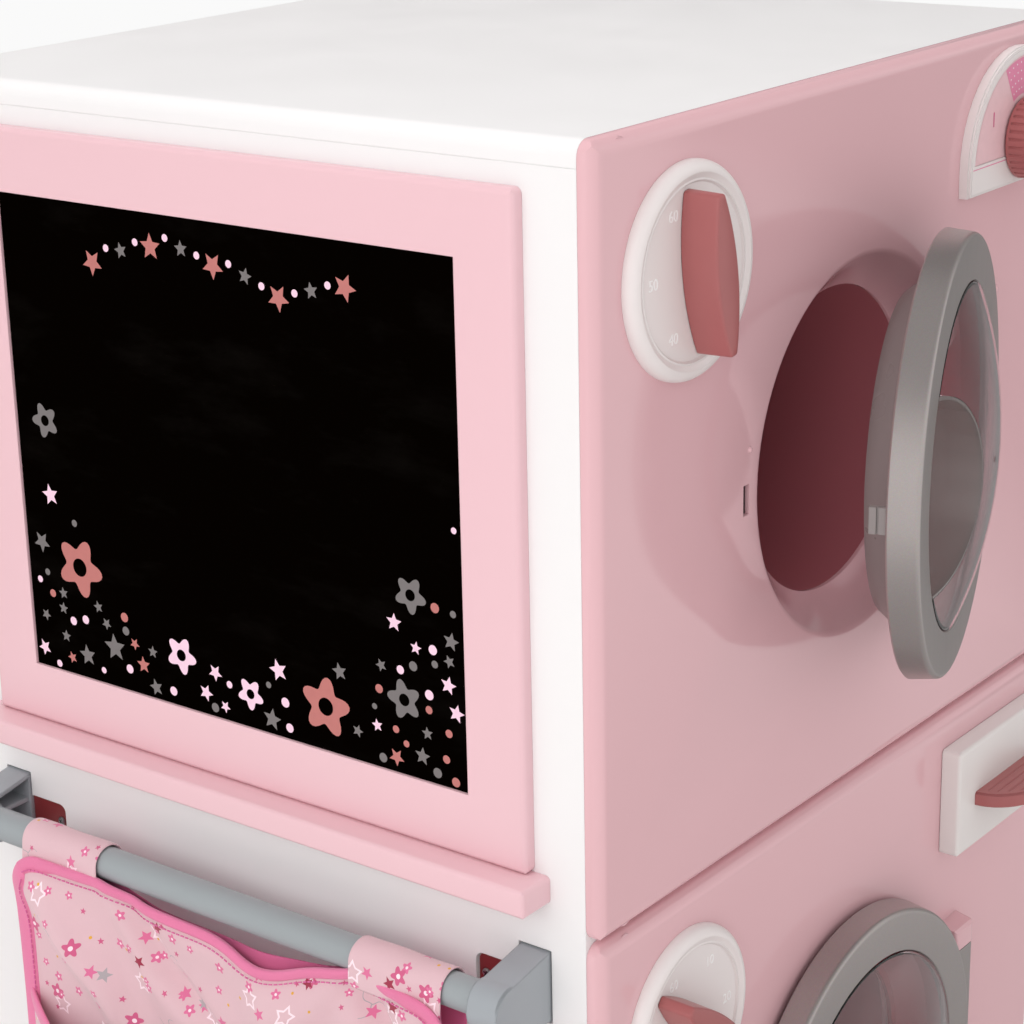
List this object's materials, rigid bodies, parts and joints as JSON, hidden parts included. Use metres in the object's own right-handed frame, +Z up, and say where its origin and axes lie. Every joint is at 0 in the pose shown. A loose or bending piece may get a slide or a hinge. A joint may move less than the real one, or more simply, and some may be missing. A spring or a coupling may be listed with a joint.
{
  "type": "toy washing machine",
  "caption": "Play laundry tower: glazed round doors over fixed drums, turning timer and heat knobs, a pull-out drawer, a side chalkboard with a ledge and a cloth bag on a rod.",
  "frame": {"origin": "on the floor under the middle of the cabinet", "axes": "+Z up; the doors face -Y; the chalkboard and the bag are on the -X side"},
  "size_m": [0.6402, 0.5975, 0.89],
  "materials": {
    "board_white": "satin",
    "back_white": "matte",
    "glide_grey": "matte",
    "shell_pink": "satin",
    "drum_rose": "satin",
    "dial_white": "satin",
    "knob_rose": "satin",
    "clip_grey": "matte",
    "card_pink": "satin",
    "drawer_white": "satin",
    "door_grey": "satin",
    "window_clear": "glossy",
    "pin_steel": "satin",
    "frame_pink": "satin",
    "chalk_black": "matte",
    "rod_grey": "satin",
    "bracket_grey": "satin",
    "plate_red": "satin",
    "screw_steel": "satin",
    "cloth_print": "matte",
    "cloth_binding": "matte"
  },
  "bodies": {
    "cabinet": {"side_left": "board_white", "side_right": "board_white", "top_board": "board_white", "base_board": "board_white", "middle_shelf": "board_white", "back_board": "back_white", "toe_board": "board_white", "glides": "glide_grey", "shell_upper": "shell_pink", "shell_lower": "shell_pink", "drum_upper": "drum_rose", "drum_lower": "drum_rose", "dial_upper": "dial_white", "dial_lower": "dial_white", "heat_plate": "dial_white", "heat_card": "card_pink", "drawer_guide": "drawer_white", "hinge_pins": "pin_steel", "chalk_frame": "frame_pink", "chalk_panel": "chalk_black", "chalk_ledge": "frame_pink", "rod": "rod_grey", "bracket_front": "bracket_grey", "bracket_rear": "bracket_grey", "fixing_plates": "plate_red", "plate_screws": "screw_steel", "bag_back": "cloth_print", "bag_pocket": "cloth_print", "bag_loops": "cloth_binding", "bag_binding": "cloth_binding"},
    "door_upper": {"ring_upper": "door_grey", "cone_upper": "door_grey", "window_upper": "window_clear", "scoop_upper": "door_grey", "latch_upper": "door_grey"},
    "door_lower": {"ring_lower": "door_grey", "cone_lower": "door_grey", "window_lower": "window_clear", "scoop_lower": "door_grey", "latch_lower": "door_grey"},
    "timer_knob_upper_body": {"timer_knob_upper": "knob_rose", "timer_clip_upper": "clip_grey"},
    "timer_knob_lower_body": {"timer_knob_lower": "knob_rose", "timer_clip_lower": "clip_grey"},
    "heat_dial": {"heat_knob": "knob_rose", "heat_clip": "clip_grey"},
    "drawer": {"drawer_front": "drawer_white", "drawer_tray": "drawer_white", "drawer_pull": "knob_rose"}
  },
  "joints": [
    {"name": "door_upper_hinge", "type": "hinge", "parent": "cabinet", "child": "door_upper", "pos_m": [0.1314, -0.257, 0.6717], "axis": [0, 0, 1], "range_deg": [-17.5, 85]},
    {"name": "door_lower_hinge", "type": "hinge", "parent": "cabinet", "child": "door_lower", "pos_m": [0.1314, -0.257, 0.2397], "axis": [0, 0, 1], "range_deg": [0, 102.5]},
    {"name": "timer_upper_turn", "type": "hinge", "parent": "cabinet", "child": "timer_knob_upper_body", "pos_m": [-0.1855, -0.25, 0.8115], "axis": [0, 1, 0], "continuous": true},
    {"name": "timer_lower_turn", "type": "hinge", "parent": "cabinet", "child": "timer_knob_lower_body", "pos_m": [-0.1855, -0.25, 0.3795], "axis": [0, 1, 0], "continuous": true},
    {"name": "heat_turn", "type": "hinge", "parent": "cabinet", "child": "heat_dial", "pos_m": [0.1788, -0.25, 0.824], "axis": [0, 1, 0], "range_deg": [-60, 60]},
    {"name": "drawer_slide", "type": "slide", "parent": "cabinet", "child": "drawer", "axis": [0, -1, 0], "range_m": [0, 0.085]}
  ]
}
